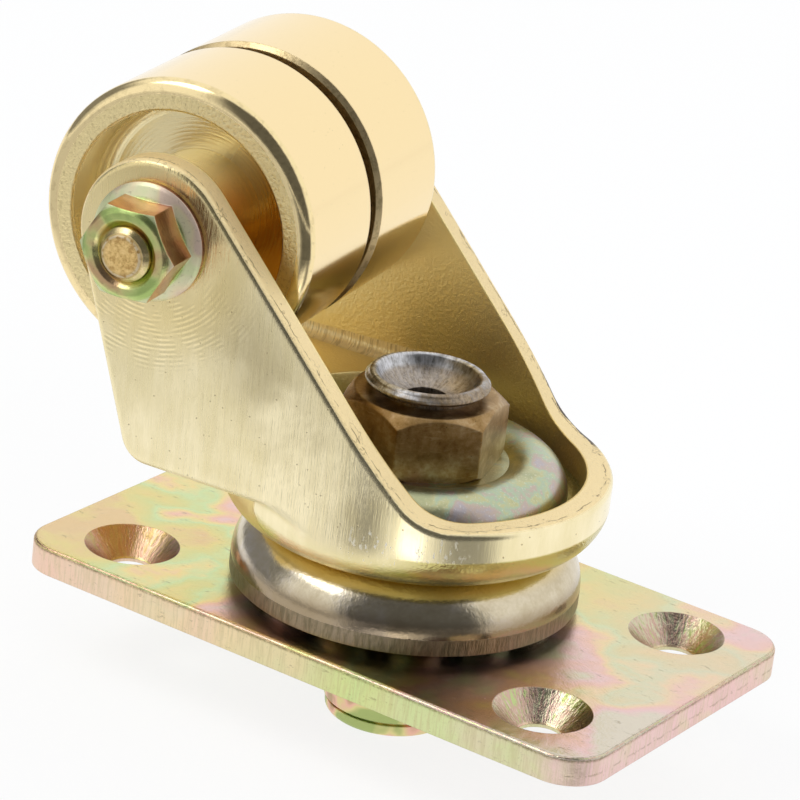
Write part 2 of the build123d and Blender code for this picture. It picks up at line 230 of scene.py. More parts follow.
class Bench(Desk):
    """One material in the making."""

    def __init__(self, name: str) -> None:
        """Starts a metal with one shader.

        Args:
            name: The material's name.
        """
        self.material = bpy.data.materials.new(name)
        self.material.use_nodes = True
        super().__init__(self.material.node_tree)
        self.shader = self.tree.nodes["Principled BSDF"]
        self.coordinates = self.node("ShaderNodeTexCoord", {}, {})

    def turned_frame(
        self, angle: float, source: Source = Source.PLACE, scale: float = 1 / MM,
    ) -> bpy.types.NodeSocket:
        """Coordinates in millimetres, turned about the swivel axis.

        Args:
            angle: How far the frame is turned, in radians.
            source: Places or directions.
            scale: What one metre becomes.

        Returns:
            The vector output.
        """
        mapping = self.node(
            "ShaderNodeMapping", {"vector_type": "POINT"},
            {
                "Vector": self.coordinates.outputs[source.value],
                "Rotation": (0.0, 0.0, -angle), "Scale": (scale,) * 3,
            },
        )
        return mapping.outputs[0]

    def parts(self, vector: bpy.types.NodeSocket) -> tuple[Signal, Signal, Signal]:
        """Splits a vector into its three numbers."""
        split = self.node("ShaderNodeSeparateXYZ", {}, {0: vector})
        return tuple(Signal(self, output) for output in split.outputs)

    def vector(self, x: Signal | float, y: Signal | float, z: Signal | float) -> bpy.types.NodeSocket:
        """Joins three numbers into a vector."""
        return self.node("ShaderNodeCombineXYZ", {}, {0: x, 1: y, 2: z}).outputs[0]

    @staticmethod
    def axle_radius(along: Signal, up: Signal) -> Signal:
        """Distance from the axle's line, in the fork's frame."""
        behind, level = along + AXLE_TRAIL, up - AXLE_HEIGHT
        return (behind * behind + level * level).root()

    def shifted(
        self, vector: bpy.types.NodeSocket, place: Triple, stretch: Triple = (1.0, 1.0, 1.0),
    ) -> bpy.types.NodeSocket:
        """Moves and stretches a pattern.

        Args:
            vector: The coordinates.
            place: What is added to them.
            stretch: What each is multiplied by first.

        Returns:
            The new coordinates.
        """
        inputs = {"Vector": vector, "Location": place, "Scale": stretch}
        return self.node("ShaderNodeMapping", {}, inputs).outputs[0]

    def noise(
        self, vector: bpy.types.NodeSocket, size: float,
        detail: float = 3.0, rough: float = 0.5, warp: float = 0.0,
    ) -> Signal:
        """Cloudy noise from 0 to 1.

        Args:
            vector: Coordinates in millimetres.
            size: The clouds' size in millimetres.
            detail: How many finer layers are added.
            rough: How strong the finer layers are.
            warp: How far the clouds are bent.

        Returns:
            The noise as a signal.
        """
        node = self.node(
            "ShaderNodeTexNoise", {},
            {"Vector": vector, "Scale": 1 / size, "Detail": detail, "Roughness": rough, "Distortion": warp},
        )
        return Signal(self, node.outputs["Fac"])

    def grains(self, vector: bpy.types.NodeSocket, size: float) -> Signal:
        """Distance to the nearest of many scattered points, for pits and specks."""
        node = self.node("ShaderNodeTexVoronoi", {}, {"Vector": vector, "Scale": 1 / size})
        return Signal(self, node.outputs["Distance"])

    def ramp(self, value: Signal, stops: Stops) -> bpy.types.NodeSocket:
        """Triples a number."""
        return self.node("ShaderNodeValToRGB", {"stops": stops}, {0: value}).outputs[0]

    @staticmethod
    def ink(colour: bpy.types.NodeSocket | Shade | Paint) -> bpy.types.NodeSocket | Paint:
        """Turns a colour as on a screen into paint, and leaves a socket or paint as it is."""
        return paint(*colour) if isinstance(colour, tuple) and len(colour) == 3 else colour

    def blend(
        self, mask: Signal | float, below: bpy.types.NodeSocket | Shade, above: bpy.types.NodeSocket | Shade,
    ) -> bpy.types.NodeSocket:
        """Lays one colour over another.

        Args:
            mask: Where the upper colour shows.
            below: The lower colour.
            above: The upper colour.

        Returns:
            The mixed colour.
        """
        mix = self.node(
            "ShaderNodeMix", {"data_type": "RGBA", "blend_type": "MIX", "clamp_factor": True},
            {0: mask, 6: self.ink(below), 7: self.ink(above)},
        )
        return mix.outputs[2]

    def relief(
        self, height: Signal, depth: float, base: bpy.types.NodeSocket | None = None,
    ) -> bpy.types.NodeSocket:
        """Raises the surface.

        Args:
            height: The height from 0 to 1.
            depth: What a height of 1 stands for, in millimetres.
            base: A normal to start from.

        Returns:
            The new normal.
        """
        inputs: dict[int | str, object] = {"Height": height, "Distance": depth * MM, "Strength": 1.0}
        if base is not None:
            inputs["Normal"] = base
        return self.node("ShaderNodeBump", {}, inputs).outputs[0]

    def mixed(
        self, mask: Signal, below: bpy.types.NodeSocket, above: bpy.types.NodeSocket,
    ) -> bpy.types.NodeSocket:
        """Goes from one direction to another.

        Args:
            mask: Where the second one holds.
            below: The first direction.
            above: The second direction.

        Returns:
            The direction between them.
        """
        settings = {"data_type": "VECTOR", "clamp_factor": True}
        return self.node("ShaderNodeMix", settings, {0: mask, 4: below, 5: above}).outputs[1]

    def soft_edges(self, radius: float) -> bpy.types.NodeSocket:
        """Rounds sharp edges in the light by a radius in millimetres."""
        return self.node("ShaderNodeBevel", {"samples": 4}, {"Radius": radius * MM}).outputs[0]

    def finish(
        self, colour: bpy.types.NodeSocket | Shade | Paint, roughness: Signal | float,
        normal: bpy.types.NodeSocket | None = None, metallic: Signal | float = 1.0,
    ) -> bpy.types.Material:
        """Wires the shader.

        Args:
            colour: The base colour or its socket.
            roughness: The roughness or its signal.
            normal: The bumped normal.
            metallic: The metallic value or its signal.

        Returns:
            The finished material.
        """
        values = {
            "Base Color": self.ink(colour), "Roughness": roughness, "Metallic": metallic, "Normal": normal,
        }
        for key, value in values.items():
            socket = self.shader.inputs[key]
            if isinstance(value, Signal):
                self.tree.links.new(value.socket, socket)
            elif isinstance(value, bpy.types.NodeSocket):
                self.tree.links.new(value, socket)
            elif value is not None:
                socket.default_value = value
        return self.material

    def emission(self, shade: Signal | float) -> bpy.types.NodeSocket:
        """Shows one grey, whatever light falls on it."""
        grey = self.vector(shade, shade, shade)
        return self.node("ShaderNodeEmission", {}, {"Color": grey, "Strength": 1.0}).outputs[0]

    def show(self, shader: bpy.types.NodeSocket) -> None:
        """Puts another shader on the surface than the metal."""
        self.tree.links.new(shader, self.tree.nodes["Material Output"].inputs["Surface"])


def dress(node_name: str, material: bpy.types.Material) -> None:
    """Gives a carried-over piece its finish.

    Args:
        node_name: The piece's name.
        material: Its material.
    """
    piece = bpy.data.objects[node_name]
    if not piece.material_slots:
        piece.data.materials.append(material)
    for slot in piece.material_slots:
        slot.material = material
    LOG.info("%s wears %s", node_name, material.name)


@dataclass
class ForkZones:
    """Masks for the parts of the fork's surface, in the fork's own frame and in millimetres."""

    bench: Bench
    inner_face: float = 24.8
    outer_face: float = 28.8
    web_level: float = 29.4
    crease_level: float = 21.9
    front_edge: tuple[float, float] = (12.4, 26.5)
    front_lean: tuple[float, float] = (0.750, 0.661)

    def __post_init__(self) -> None:
        """Works out every mask once."""
        self.place = self.bench.turned_frame(SWIVEL)
        self.along, self.across, self.up = self.bench.parts(self.place)
        self.level = self.up - AXLE_HEIGHT
        self.radius = self.bench.axle_radius(self.along, self.up)
        ahead = self.along.most(0.0)
        self.reach = (ahead * ahead + self.across * self.across).root()
        self._sheet()
        self._heights()

    def _sheet(self) -> None:
        """Tells the outer face, the inner face, the cut edges and the web's striated corner."""
        face_along, _, _ = self.bench.parts(self.bench.turned_frame(SWIVEL, Source.FACING, 1.0))
        self.outer = self.reach.rise(self.outer_face - 0.6, self.outer_face - 0.15)
        self.inner = self.reach.rise(self.inner_face + 0.5, self.inner_face + 0.15)
        in_sheet = self.reach.band(self.inner_face + 0.25, self.outer_face - 0.3, 0.08)
        self.cut = in_sheet * (self.up.rise(26.2, 26.45).most(face_along.rise(-0.7, -0.85)))
        corner = self.along.rise(-8.0, -11.0) * abs(self.across).rise(22.9, 23.3) * self.up.rise(31.6, 31.3)
        self.corner = corner * self.up.rise(self.web_level - 1.2, self.web_level - 0.8) * self.inner

    def _heights(self) -> None:
        """Tells the bulge under the crease, the polished front and the distance behind the front edge."""
        self.flowing = self.up.band(17.5, 26.0, 1.5) * self.along.rise(15.0, 7.0)
        sharp = self.up.rise(self.crease_level + 0.3, self.crease_level - 0.1) * (1 - self.flowing)
        self.below = sharp + self.up.rise(self.crease_level + 1.0, self.crease_level - 4.5) * self.flowing
        self.polished = self.along.rise(1.0, 9.0) * self.up.rise(31.0, 27.0)
        back = (self.front_edge[0] - self.along) * self.front_lean[0]
        self.inside = back + (self.front_edge[1] - self.up) * self.front_lean[1]


@dataclass
class ForkGrain:
    """Noises that the fork's finish is made of."""

    zones: ForkZones
    ring_pitch: float = 0.72

    def __post_init__(self) -> None:
        """Makes every noise once."""
        bench, place = self.zones.bench, self.zones.place
        self.hairs = bench.noise(bench.shifted(place, (3.0, 1.0, 5.0), (1.0, 0.2, 0.07)), 0.42, 3.0, 0.75)
        self.strokes = bench.noise(
            bench.shifted(place, (13.0, 7.0, 2.0), (1.0, 0.3, 0.12)), 1.7, 4.0, 0.7, 0.3,
        )
        self.clouds = bench.noise(place, 13.0, 3.0, 0.55, 0.4)
        self.rings = (self.zones.radius * (2 * math.pi / self.ring_pitch)).sine() * 0.5 + 0.5
        self.broken = bench.noise(bench.shifted(place, (8.0, 3.0, 6.0)), 3.2, 2.0, 0.6).rise(0.42, 0.6)
        self.waves = bench.noise(bench.shifted(place, (2.0, 9.0, 5.0), (1.0, 0.5, 0.6)), 14.0, 2.0, 0.5)
        self.peel = bench.noise(place, 0.5, 2.0, 0.6)
        self.pits = bench.grains(bench.shifted(place, (4.0, 4.0, 4.0)), 1.7).rise(0.1, 0.04)
        self.crumbs = bench.noise(place, 0.4, 3.0, 0.7)
        self.striae = bench.noise(bench.shifted(place, (1.0, 2.0, 3.0), (1.0, 0.12, 0.08)), 0.36, 2.0, 0.6)
        self.wander = bench.noise(bench.shifted(place, (5.0, 3.0, 9.0)), 3.5, 3.0, 0.7)


@dataclass
class ForkMarks:
    """Brushing, smears, nicks painted white as glints, and the seams, cracks and torn burr of the cut edge.
    """

    zones: ForkZones
    grain: ForkGrain

    def __post_init__(self) -> None:
        """Places every mark once."""
        zones, grain = self.zones, self.grain
        above = 1 - zones.below
        self.brushed = zones.outer * above * (1 - zones.polished * 0.85)
        smear = zones.outer * zones.inside.band(2.0, 12.0, 5.0) * grain.clouds.rise(0.3, 0.6)
        self.smear = smear * above * (1 - zones.polished)
        self.ringed = zones.outer * zones.radius.band(8.8, 19.0, 1.5) * zones.level.rise(-2.0, -7.0)
        self.ringed = self.ringed * grain.broken * 0.8
        self._glinting_nicks()
        self._edge()

    def _glinting_nicks(self) -> None:
        """Scatters nicks over the pan's front, painted white as glints near the pan's highlight."""
        zones, bench = self.zones, self.zones.bench
        stretched = bench.shifted(zones.place, (6.0, 2.0, 1.0), (1.0, 1.0, 0.35))
        glinting_nicks = bench.noise(stretched, 0.55, 3.0, 0.7).rise(0.58, 0.64)
        front = zones.along.band(3.0, 18.0, 3.0) * zones.up.rise(26.0, 25.0)
        self.glinting_nicks = glinting_nicks * zones.outer * front * (1 - zones.below)

    def _edge(self) -> None:
        """Draws the seam, the crack, the burr and the torn stretch of the rim."""
        zones, grain, bench = self.zones, self.grain, self.zones.bench
        patches = bench.noise(zones.place, 2.4, 2.0, 0.6).rise(0.44, 0.56)
        self.seam = zones.cut * (zones.reach + grain.wander * 1.4).band(28.2, 28.36, 0.06) * patches
        crack = (zones.reach * 0.8 + grain.wander * 7.0).band(25.55, 25.7, 0.06)
        self.crack = zones.cut * crack * grain.broken
        burr = zones.outer * zones.reach.rise(28.66, 28.56) * (1 - zones.below) * zones.up.rise(26.0, 26.6)
        self.burr = burr * grain.crumbs.rise(0.44, 0.56) * grain.broken
        torn = (zones.reach + (grain.wander - 0.5) * 1.8).band(27.9, 28.75, 0.12)
        far_side = zones.along.band(7.0, 20.0, 1.2) * zones.across.rise(6.0, 9.0) * zones.up.rise(25.6, 26.0)
        self.torn = torn * far_side


@dataclass(frozen=True)
class ForkBrass:
    """Brass plate on the pressed fork: brushed outside, grained inside, cream on its cut edges, with painted
    shade, painted reflections and painted glints.
    """

    bright: Shade = (254, 241, 200)
    pale: Shade = (243, 229, 183)
    # painted reflection: a more golden tone round the axle boss
    boss_reflection: Shade = (252, 228, 158)
    deep: Shade = (252, 230, 160)
    shaded: Shade = (220, 190, 116)
    # painted dark reflection of the plate on the bowl below the crease
    bowl_dark_reflection: Shade = (208, 196, 126)
    cut: Shade = (242, 219, 166)
    stained: Shade = (104, 82, 44)
    smear: Shade = (158, 144, 108)
    striated: Shade = (244, 222, 164)
    stria: Shade = (150, 128, 84)
    torn: Shade = (70, 56, 46)
    # painted glint colour of the nicks
    nick_glint: Shade = (255, 252, 240)
    depth: float = 0.03

    def build(self) -> bpy.types.Material:
        """Makes the material."""
        bench = Bench("fork_brass_plate")
        zones = ForkZones(bench)
        grain = ForkGrain(zones)
        marks = ForkMarks(zones, grain)
        tone = self._worn(bench, zones, grain, marks, self._plated(bench, zones, grain, marks))
        base = bench.mixed(zones.flowing, bench.soft_edges(0.4), bench.soft_edges(3.0))
        normal = bench.relief(self._height(zones, grain, marks), self.depth, base)
        return bench.finish(tone, self._gloss(zones, grain, marks), normal, self._metal(zones))

    def _plated(
        self, bench: Bench, zones: ForkZones, grain: ForkGrain, marks: ForkMarks,
    ) -> bpy.types.NodeSocket:
        """Colours the plating of each zone, with painted shade on the inner face, a painted reflection round
        the axle boss and a painted dark reflection on the bowl.

        Args:
            bench: The material in the making.
            zones: The zones' masks.
            grain: The noises.
            marks: The marks' masks.

        Returns:
            The colour before seams, pits and nicks.
        """
        tone = bench.ramp(grain.clouds * 0.6 + grain.strokes * 0.4, ((0.4, self.bright), (0.58, self.pale)))
        tone = bench.blend(marks.smear * (0.34 + grain.hairs * 0.3), tone, self.smear)
        # painted reflection: a more golden tone on the outer face round the axle boss
        tone = bench.blend(zones.outer * zones.radius.rise(21.0, 11.0) * 0.5, tone, self.boss_reflection)
        tone = bench.blend(zones.inner, tone, self.deep)
        shade = zones.inner * zones.up.rise(50.0, 32.0) * zones.along.rise(-24.0, -6.0) * 0.7
        tone = bench.blend(shade, tone, self.shaded)
        # painted dark reflection on the bowl below the crease, weaker towards the back where a highlight
        # falls
        tone = bench.blend(zones.below * (0.35 + zones.along.rise(-6.0, 12.0) * 0.65), tone, self.bowl_dark_reflection)
        tone = bench.blend(zones.corner, tone, self.striated)
        return bench.blend(zones.corner * grain.striae.rise(0.52, 0.6) * 0.38, tone, self.stria)

    def _worn(
        self, bench: Bench, zones: ForkZones, grain: ForkGrain, marks: ForkMarks, tone: bpy.types.NodeSocket,
    ) -> bpy.types.NodeSocket:
        """Lays the cut edges, seams, pits, the torn burr and the nicks, painted white as glints, over the
        plating.

        Args:
            bench: The material in the making.
            zones: The zones' masks.
            grain: The noises.
            marks: The marks' masks.
            tone: The plating's colour.

        Returns:
            The finished colour.
        """
        tone = bench.blend(zones.cut, tone, self.cut)
        tone = bench.blend(zones.cut * grain.crumbs.rise(0.4, 0.3) * 0.3, tone, self.smear)
        lines = (marks.seam + marks.crack * 0.6 + marks.burr * 0.35).least(1.0) * 0.75
        tone = bench.blend(lines, tone, self.stained)
        tone = bench.blend(grain.pits * zones.outer * 0.4, tone, self.stained)
        tone = bench.blend(marks.torn * grain.crumbs.rise(0.3, 0.42), tone, self.torn)
        # painted glints: the nicks shown near white round the highlight
        return bench.blend(marks.glinting_nicks * 0.8, tone, self.nick_glint)

    @staticmethod
    def _height(zones: ForkZones, grain: ForkGrain, marks: ForkMarks) -> Signal:
        """Gives the relief.

        Args:
            zones: The zones' masks.
            grain: The noises.
            marks: The marks' masks.

        Returns:
            The height.
        """
        brushing = ((grain.hairs - 0.5) * 2.0 + (grain.strokes - 0.5) * 1.3) * marks.brushed
        height = brushing + (grain.rings - 0.5) * marks.ringed * 0.8 - grain.pits * zones.outer * 0.9
        height = height + (grain.peel - 0.5) * (zones.inner * (1 - zones.corner) * 2.3 + zones.below * 2.6)
        height = height + (grain.striae - 0.5) * zones.corner * 4.0 + (grain.crumbs - 0.5) * zones.cut * 5.5
        height = height + (grain.waves - 0.5) * 8.0 * (1 - zones.inner)
        return height - (marks.seam + marks.crack + marks.torn * 2.0) * 1.5

    @staticmethod
    def _gloss(zones: ForkZones, grain: ForkGrain, marks: ForkMarks) -> Signal:
        """Gives the roughness.

        Args:
            zones: The zones' masks.
            grain: The noises.
            marks: The marks' masks.

        Returns:
            The roughness.
        """
        brushing = marks.brushed * (grain.hairs * 0.12 + grain.strokes * 0.14)
        zoned = zones.inner * 0.18 + zones.cut * 0.3 + zones.below * 0.08
        return 0.1 + brushing + grain.clouds * 0.05 + zoned + marks.glinting_nicks * 0.3

    @staticmethod
    def _metal(zones: ForkZones) -> Signal:
        """Gives how metallic each zone is; the cut edges and the grained inside scatter more light."""
        scatter = 0.1 + zones.up.rise(30.0, 56.0) * 0.4 + zones.along.rise(-10.0, -24.0) * 0.15
        return 1.0 - zones.cut * 0.5 - zones.corner * 0.45 - zones.inner * (1 - zones.corner) * scatter


@dataclass(frozen=True)
class WheelBrass:
    """Brass plate on the turned wheels: mirror tread, grained annulus and recess, with a painted orange glow
    on one side of the recess.
    """

    tread: Shade = (252, 228, 177)
    face: Shade = (244, 225, 170)
    recess: Shade = (255, 240, 190)
    # painted glow colour for one side of the recess
    painted_recess_glow: Shade = (247, 204, 112)
    lathe_pitch: float = 0.62
    stained: Shade = (120, 98, 56)

    def build(self) -> bpy.types.Material:
        """Makes the material."""
        bench = Bench("wheel_brass_plate")
        place = bench.turned_frame(SWIVEL)
        along, across, up = bench.parts(place)
        level = up - AXLE_HEIGHT
        radius = bench.axle_radius(along, up)
        depth = abs(across)
        annulus = radius.band(16.9, 19.3, 0.15) * depth.rise(20.8, 21.2)
        inside = radius.rise(17.0, 16.75)
        groove = depth.rise(2.3, 1.9)
        shoulder = depth.rise(19.4, 20.2) * radius.rise(19.2, 19.6)
        grain = bench.noise(place, 0.5, 2.0, 0.65)
        coarse = bench.noise(place, 0.9, 3.0, 0.6)
        wave = bench.noise(place, 6.0, 2.0, 0.5)
        dirt = bench.noise(bench.shifted(place, (9.0, 2.0, 4.0)), 1.4, 4.0, 0.7).rise(0.5, 0.62)
        specks = bench.grains(place, 1.3).rise(0.09, 0.04)
        lathe = (radius * (2 * math.pi / self.lathe_pitch)).sine() * 0.5 + 0.5
        turns = bench.noise(bench.vector(radius, depth, 0.0), 0.5, 3.0, 0.7)
        gloss = 0.09 + annulus * 0.2 + inside * 0.08 + wave * 0.03 + groove * 0.2 + grain * 0.03
        tone = bench.blend(inside, self.tread, self.recess)
        # painted glow: orange on the front, lower side of the recess
        painted_glow_side = inside * (along + AXLE_TRAIL - level * 0.5).rise(-4.0, 10.0)
        tone = bench.blend(painted_glow_side, tone, self.painted_recess_glow)
        tone = bench.blend(annulus.most(shoulder * 0.5), tone, self.face)
        tone = bench.blend(annulus * grain.rise(0.48, 0.36) * 0.2, tone, self.stained)
        tone = bench.blend(groove * (0.3 + dirt * 0.25), tone, self.stained)
        tone = bench.blend(shoulder * dirt * grain * 0.3, tone, self.stained)
        tone = bench.blend(specks * 0.25, tone, self.stained)
        height = (grain - 0.5) * (annulus * 5.0 + groove * 0.6 + 0.1) + (coarse - 0.5) * inside * 0.8
        height = height + (lathe - 0.5) * 0.2 * inside + (turns - 0.5) * (inside * 1.4 + shoulder * 0.8)
        normal = bench.relief(height, 0.03, bench.soft_edges(0.2))
        return bench.finish(tone, gloss, normal, 1.0 - inside * (0.3 - painted_glow_side * 0.28))


@dataclass(frozen=True)
class PassivatedPlate:
    """Yellow passivated zinc with drifting green, pink and straw tints and sheared sides."""

    tints: Stops = (
        (0.36, (232, 196, 140)), (0.41, (232, 214, 130)), (0.46, (216, 218, 138)), (0.49, (204, 228, 164)),
        (0.53, (244, 220, 142)), (0.57, (246, 192, 172)), (0.61, (240, 196, 200)), (0.66, (208, 222, 188)),
    )
    side_tints: Stops = (
        (0.05, (252, 214, 200)), (0.36, (244, 222, 184)), (0.6, (214, 230, 158)),
        (0.84, (220, 230, 166)), (1.0, (244, 206, 204)),
    )
    sink_tints: Stops = (
        (0.38, (168, 176, 110)), (0.46, (214, 206, 176)), (0.54, (206, 170, 156)), (0.62, (190, 204, 140)),
    )
    milky: Shade = (224, 212, 180)
    pink: Shade = (232, 202, 204)
    scuffed: Shade = (132, 118, 84)
    sheared: Shade = (196, 182, 132)
    brown: Shade = (196, 130, 96)
    rolled: Shade = (150, 138, 100)
    cloud_size: float = 24.0
    top_level: float = 4.4
    hole_along: float = 36.9
    hole_across: float = 18.25

    def build(self) -> bpy.types.Material:
        """Makes the material."""
        bench = Bench("plate_passivated_zinc")
        place = bench.turned_frame(0.0)
        along, across, up = bench.parts(place)
        facing = bench.turned_frame(0.0, Source.FACING, 1.0)
        face_along, _, face_up = bench.parts(facing)
        side = abs(face_up).rise(0.5, 0.2)
        sink = face_up.band(0.6, 0.8, 0.05) * up.rise(0.5, 0.9)
        flattened = bench.shifted(place, (14.0, 3.0, 0.0), (1.0, 1.0, 0.5))
        clouds = bench.noise(flattened, self.cloud_size, 2.0, 0.5, 0.5)
        second = bench.noise(bench.shifted(place, (31.0, 5.0, 8.0)), 10.0, 3.0, 0.55, 0.3)
        drift = clouds * 0.74 + second * 0.26 + side * 0.03 + along * 0.0011 - across * 0.0006
        tone = bench.blend(0.16 + second * 0.16, bench.ramp(drift, self.tints), self.milky)
        tone = bench.blend(along.rise(5.0, 50.0) * 0.45, tone, self.pink)
        side_tint = bench.ramp(along * 0.01 + 0.5 + (second - 0.5) * 0.4, self.side_tints)
        tone = bench.blend(side * 0.82, tone, side_tint)
        grit = bench.noise(place, 0.34, 3.0, 0.7)
        mottle = bench.noise(place, 1.6, 3.0, 0.6)
        scuffs = bench.noise(bench.shifted(place, (2.0, 8.0, 1.0), (0.35, 1.0, 1.0)), 1.1, 4.0, 0.75)
        shear = bench.noise(bench.vector(along + across, 0.0, up * 0.08), 0.5, 3.0, 0.7)
        bore = (abs(across) - self.hole_across).angle_from(abs(along) - self.hole_along)
        cutter = bench.noise(bench.vector(bore * 6.0, along * 0.04, up * 0.3), 0.45, 3.0, 0.7)
        ragged = up + mottle * 1.2 + shear * 0.5
        lip = side * ragged.band(2.35, 2.55, 0.15) * mottle.rise(0.44, 0.54) * face_along.rise(0.3, 0.7)
        burr = up.band(self.top_level - 0.6, self.top_level - 0.45, 0.1) * side.rise(0.02, 0.4)
        burr = burr * scuffs.rise(0.4, 0.55)
        stain = (scuffs.rise(0.6, 0.7) * 0.5 + grit.rise(0.4, 0.3) * 0.3 + lip * 0.6 + burr * 0.6).least(1.0)
        tone = bench.blend(stain * 0.85, tone, self.scuffed)
        tone = bench.blend(side * shear.rise(0.55, 0.4) * 0.3, tone, self.sheared)
        tone = bench.blend(sink, tone, bench.ramp(second * 0.5 + cutter * 0.5, self.sink_tints))
        tone = bench.blend(sink * along.rise(-20.0, -30.0) * 0.5, tone, self.brown)
        dents = bench.noise(bench.shifted(place, (4.0, 7.0, 2.0)), 4.5, 2.0, 0.5)
        rolled = up.rise(self.top_level - 1.0, self.top_level - 0.6) * face_up.rise(0.98, 0.9) * (1 - sink)
        tone = bench.blend(rolled * grit.rise(0.48, 0.58) * 0.45, tone, self.rolled)
        gloss = 0.14 + grit * 0.1 + mottle * 0.1 + side * 0.16 - sink * 0.1 + rolled * 0.25
        height = (grit - 0.5) * (1.8 + rolled * 2.6) + mottle * 1.4 + scuffs * 0.5
        height = height + (shear - 0.5) * side * 1.6 - lip * 1.2
        height = height + (cutter - 0.5) * sink * 3.0 + (dents - 0.5) * (3.0 + along.rise(20.0, 46.0) * 5.0)
        normal = bench.relief(height, 0.03, bench.soft_edges(0.25))
        return bench.finish(tone, gloss, normal)


@dataclass(frozen=True)
class WornSteel:
    """Kingpin: silver-grey flared end with radial streaks and brown stains, tinted head."""

    steel: Stops = ((0.38, (150, 148, 146)), (0.5, (196, 196, 198)), (0.62, (222, 222, 226)))
    rusty: Stops = ((0.35, (112, 90, 60)), (0.65, (170, 146, 108)))
    head_tints: Stops = (
        (0.38, (172, 186, 118)), (0.46, (226, 214, 150)), (0.53, (238, 190, 168)), (0.6, (190, 160, 120)),
    )
    lip_level: float = 38.0

    def build(self) -> bpy.types.Material:
        """Makes the material."""
        bench = Bench("kingpin_worn_steel")
        place = bench.turned_frame(0.0)
        along, across, up = bench.parts(place)
        angle = across.angle_from(along)
        radius = (along * along + across * across).root()
        rays = bench.noise(bench.vector(angle * 7.0, radius * 0.25, up * 0.25), 0.55, 3.0, 0.65)
        clouds = bench.noise(place, 3.2, 3.0, 0.6)
        grit = bench.noise(place, 0.5, 3.0, 0.7)
        top = up.rise(20.0, 24.0)
        rust = (clouds * 0.7 + along * 0.04 - across * 0.01 + grit * 0.2).rise(0.56, 0.8)
        rust = rust.most(up.rise(self.lip_level, self.lip_level - 0.7) * 0.7)
        tone = bench.ramp(rays * 0.75 + grit * 0.25, self.steel)
        tone = bench.blend(rust * 0.8, tone, bench.ramp(grit, self.rusty))
        tone = bench.blend(top, bench.ramp(bench.noise(place, 6.0, 2.0, 0.5, 0.4), self.head_tints), tone)
        gloss = 0.2 + rays * 0.16 + rust * 0.12 + grit * 0.06
        height = (rays - 0.5) * top * 0.6 + clouds * 0.6 + grit * 0.5
        return bench.finish(tone, gloss, bench.relief(height, 0.05, bench.soft_edges(0.25)))


@dataclass(frozen=True)
class DarkBronze:
    """Kingpin nut: dark, oxidised and slightly warm."""

    bronze: Stops = (
        (0.36, (126, 96, 54)), (0.46, (154, 124, 80)), (0.54, (172, 142, 100)), (0.64, (196, 174, 136)),
    )
    scraped: Shade = (198, 176, 134)
    pitted: Shade = (58, 42, 26)

    def build(self) -> bpy.types.Material:
        """Makes the material."""
        bench = Bench("nut_dark_bronze")
        place = bench.turned_frame(0.0)
        clouds = bench.noise(place, 4.5, 4.0, 0.6)
        fine = bench.noise(place, 0.6, 3.0, 0.7)
        scrapes = bench.noise(bench.shifted(place, (0.0, 0.0, 4.0), (0.25, 0.25, 1.6)), 0.8, 3.0, 0.7)
        specks = bench.grains(place, 1.3).rise(0.1, 0.04)
        tone = bench.ramp(clouds * 0.75 + fine * 0.25, self.bronze)
        tone = bench.blend(scrapes.rise(0.58, 0.68) * 0.35, tone, self.scraped)
        tone = bench.blend(specks * 0.6, tone, self.pitted)
        normal = bench.relief(fine * 0.7 + clouds * 0.6 + scrapes * 0.4, 0.04, bench.soft_edges(0.45))
        return bench.finish(tone, 0.22 + fine * 0.2 + clouds * 0.1, normal)


@dataclass(frozen=True)
class PaleZinc:
    """Dome washer: pale green-silver zinc with pink tints."""

    tints: Stops = (
        (0.36, (176, 180, 142)), (0.45, (198, 196, 152)), (0.5, (178, 196, 170)),
        (0.55, (196, 178, 164)), (0.62, (186, 178, 182)),
    )
    spangle: Shade = (240, 240, 232)

    def build(self) -> bpy.types.Material:
        """Makes the material."""
        bench = Bench("washer_pale_zinc")
        place = bench.turned_frame(0.0)
        clouds = bench.noise(place, 8.0, 3.0, 0.55, 0.6)
        fine = bench.noise(place, 0.6, 3.0, 0.6)
        speckle = bench.noise(place, 0.3, 2.0, 0.6)
        tone = bench.ramp(clouds * 0.85 + fine * 0.15, self.tints)
        tone = bench.blend(speckle.rise(0.6, 0.7) * 0.4, tone, self.spangle)
        normal = bench.relief(fine + speckle * 0.4, 0.02)
        return bench.finish(tone, 0.2 + fine * 0.14 + clouds * 0.1, normal)


